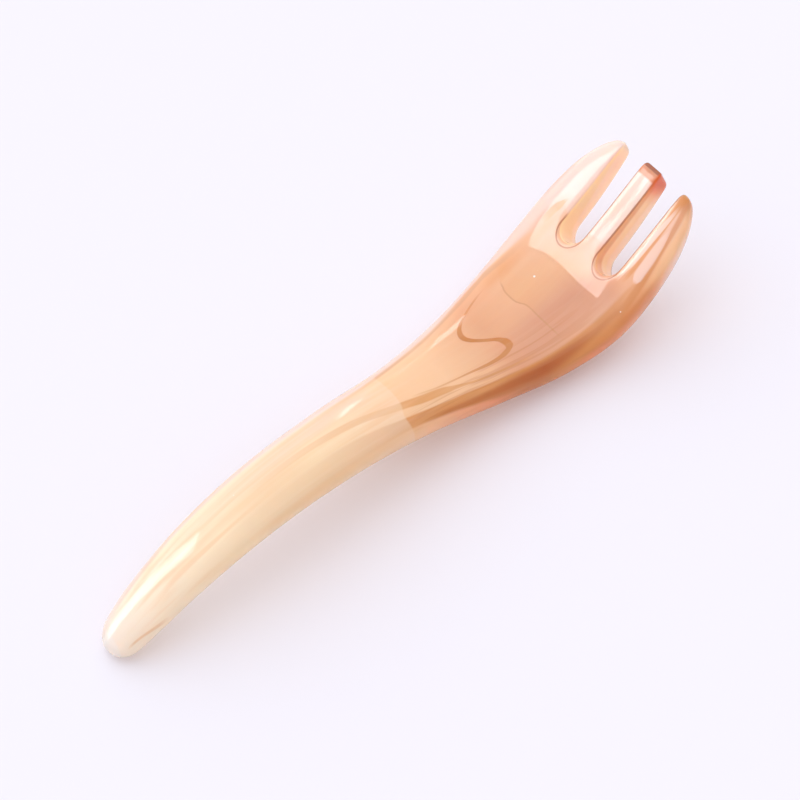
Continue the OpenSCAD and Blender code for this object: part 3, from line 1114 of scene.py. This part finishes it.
    def make(self) -> bpy.types.Material:
        """Build the material.

        Returns:
            The material.
        """
        material = bpy.data.materials.new("cast_horn_resin_polished")
        tree = bare_tree(material)
        where = add_node(tree, "TexCoord").outputs["Object"]
        point = add_node(tree, "Mapping", {0: where, 3: (1 / MM,) * 3}).outputs[0]
        place = add_node(tree, "SeparateXYZ", {0: point})
        coat = Coat(tree, self.ramp(tree, place.outputs[0]))
        for layer in self.streaks:
            layer.lay(coat, place)
        self.pours(coat, place)
        self.tines(coat, point)
        self.add_bubbles(coat, point)
        sockets = {
            "Base Color": coat.colour,
            "Roughness": 0.045,
            "IOR": 1.5,
            "Subsurface Weight": 1.0,
            "Transmission Weight": 0.18,
            "Subsurface Radius": self.scatter,
            "Subsurface Scale": self.scatter_depth * MM,
        }
        resin = add_node(tree, "BsdfPrincipled", sockets, subsurface_method="BURLEY")
        path = add_node(tree, "LightPath")
        glow = Coat(tree, linear(self.let_through))
        glow.tint(self.head_lets_through, 1.0, (place.outputs[0], -6.0, 26.0))
        through = add_node(tree, "BsdfTransparent", {"Color": glow.colour})
        sockets = {0: path.outputs["Is Shadow Ray"], 1: resin.outputs[0], 2: through.outputs[0]}
        mix = add_node(tree, "MixShader", sockets)
        add_node(tree, "OutputMaterial", {"Surface": mix.outputs[0]})
        return material


def towards(azimuth: float, height: float) -> Vector:
    """Give a direction by its turn from +X and its rise above the table, in degrees."""
    around, up = math.radians(azimuth), math.radians(height)
    return Vector((math.cos(around) * math.cos(up), math.sin(around) * math.cos(up), math.sin(up)))


@dataclass(frozen=True)
class Softbox:
    """A softbox that faces the head of the comb. Angles are in degrees, as seen from the head.

    Attributes:
        name: What it is called.
        azimuth: Direction of its middle round the comb.
        low: Height of its lower edge above the table.
        high: Height of its upper edge.
        half: Half the angle that its width takes up.
        roll: Turn in its own plane.
        distance: Distance from the head, in millimetres.
        power: Brightness of its face.
        white: Colour of its light.
    """

    name: str
    azimuth: float
    low: float
    high: float
    half: float
    roll: float
    distance: float
    power: float
    white: str = "#FFFDFF"

    def stand(self) -> Object:
        """Stand the softbox in the studio.

        Returns:
            The light.
        """
        head = Vector(HEAD_MIDDLE)
        top = head + self.distance * towards(self.azimuth, self.high)
        bottom = head + self.distance * towards(self.azimuth, self.low)
        middle = (top + bottom) / 2
        bpy.ops.object.select_all(action="DESELECT")
        bpy.ops.object.light_add(type="AREA", location=middle * MM)
        light = bpy.context.active_object
        light.name = self.name
        light.data.shape = "RECTANGLE"
        light.data.size = 2 * math.tan(math.radians(self.half)) * (middle - head).length * MM
        light.data.size_y = (top - bottom).length * MM
        light.data.color = linear(self.white)[:3]
        light.data.energy = self.power * math.pi * light.data.size * light.data.size_y
        light.visible_diffuse = False
        roll = Quaternion((0, 0, 1), math.radians(self.roll))
        light.rotation_euler = ((head - middle).to_track_quat("-Z", "Y") @ roll).to_euler()
        return light


@dataclass(frozen=True)
class MattBoard:
    """White lacquered board under the comb.

    It has no gloss at all, so it shows only the soft shadow of the comb and the warm light that
    comes through it, on an even cool white.

    Attributes:
        white: Its colour.
    """

    white: str = "#E9E8EE"

    def make(self) -> bpy.types.Material:
        """Build the material.

        Returns:
            The material.
        """
        material = bpy.data.materials.new("matt_lacquered_board")
        tree = bare_tree(material)
        sockets = {"Base Color": linear(self.white), "Roughness": 1.0, "Specular IOR Level": 0.0}
        lacquer = add_node(tree, "BsdfPrincipled", sockets)
        add_node(tree, "OutputMaterial", {"Surface": lacquer.outputs[0]})
        return material


@dataclass
class Studio:
    """The pale table, the white studio, the softboxes and the camera.

    Attributes:
        azimuth: Direction of the camera round the comb, in degrees from +X.
        elevation: Height of the camera above the table, in degrees.
        distance: Distance of the camera from what it aims at, in millimetres.
        aim: Place that the camera aims at, in millimetres.
        lens: Focal length on a sensor 36 mm wide.
        table_side: Side of the table, in metres.
        softboxes: The softboxes that the polish mirrors.
        studio_white: Colour of the studio's light.
        studio_low: Brightness of the studio near the table's height.
        studio_high: Brightness of the studio overhead.
        studio_side: What the studio's bright side adds to it.
        side_azimuth: Direction of that bright side.
        side_height: Height of its middle, in degrees above the table.
    """

    azimuth: float = -131.94
    elevation: float = 58.0
    distance: float = 750
    aim: Triple = (4.1, 1.52, 10.1)
    lens: float = 154.16
    table_side: float = 8
    softboxes: tuple[Softbox, ...] = (
        Softbox("tall_softbox", 139, 12, 58, 8, 14, 900, 5.4),
        Softbox("strip_softbox", 46, 28.5, 38, 2.2, 0, 1500, 4.0),
    )
    studio_white: str = "#FCFAFF"
    studio_low: float = 0.66
    studio_high: float = 0.78
    studio_side: float = 1.15
    side_azimuth: float = 95
    side_height: float = 39

    def table(self) -> Object:
        """Lay the pale table.

        Returns:
            The table's top.
        """
        bpy.ops.object.select_all(action="DESELECT")
        bpy.ops.mesh.primitive_plane_add(size=self.table_side)
        top = bpy.context.active_object
        top.name = top.data.name = "tabletop"
        top.data.materials.append(MattBoard().make())
        return top

    def light(self) -> None:
        """Fill the studio with soft white light and stand the softboxes round the comb."""
        world = bpy.data.worlds.new("white_studio")
        bpy.context.scene.world = world
        tree = bare_tree(world)
        where = add_node(tree, "TexCoord").outputs["Generated"]
        height = add_node(tree, "SeparateXYZ", {0: where}).outputs[2]
        sockets = {0: where, 1: towards(self.side_azimuth, self.side_height)}
        near_side = add_node(tree, "VectorMath", sockets, operation="DOT_PRODUCT")
        strengths = []
        for value, full, low, high in (
            (height, 0.8, self.studio_low, self.studio_high),
            (near_side.outputs["Value"], 1.0, 0.0, self.studio_side),
        ):
            sockets = {0: value, 1: 0.2, 2: full, 3: low, 4: high}
            rise = add_node(tree, "MapRange", sockets, interpolation_type="SMOOTHSTEP")
            strengths.append(rise.outputs[0])
        sockets = dict(enumerate(strengths))
        strength = add_node(tree, "Math", sockets, operation="ADD").outputs[0]
        sockets = {"Color": linear(self.studio_white), "Strength": strength}
        sky = add_node(tree, "Background", sockets)
        add_node(tree, "OutputWorld", {"Surface": sky.outputs[0]})
        for softbox in self.softboxes:
            softbox.stand()

    def camera(self) -> None:
        """Stand the camera where the photograph was taken from."""
        back = towards(self.azimuth, self.elevation)
        data = bpy.data.cameras.new("camera")
        data.lens = self.lens
        data.sensor_width = 36
        data.clip_start = 0.01
        camera = bpy.data.objects.new("camera", data)
        bpy.context.scene.collection.objects.link(camera)
        camera.location = (Vector(self.aim) + back * self.distance) * MM
        camera.rotation_euler = back.to_track_quat("Z", "Y").to_euler()
        bpy.context.scene.camera = camera


def main() -> None:
    """Set up the studio, make the comb and report each piece."""
    logging.basicConfig(level=logging.INFO, format="%(name)s: %(message)s")
    bpy.context.scene.view_settings.view_transform = "Standard"
    studio = Studio()
    studio.camera()
    studio.light()
    studio.table()
    log.info("studio set up")
    piece = CombCasting().build(ImitationHorn().make())
    log.info("%s: %d faces", piece.name, len(piece.data.polygons))


if __name__ == "__main__":
    main()
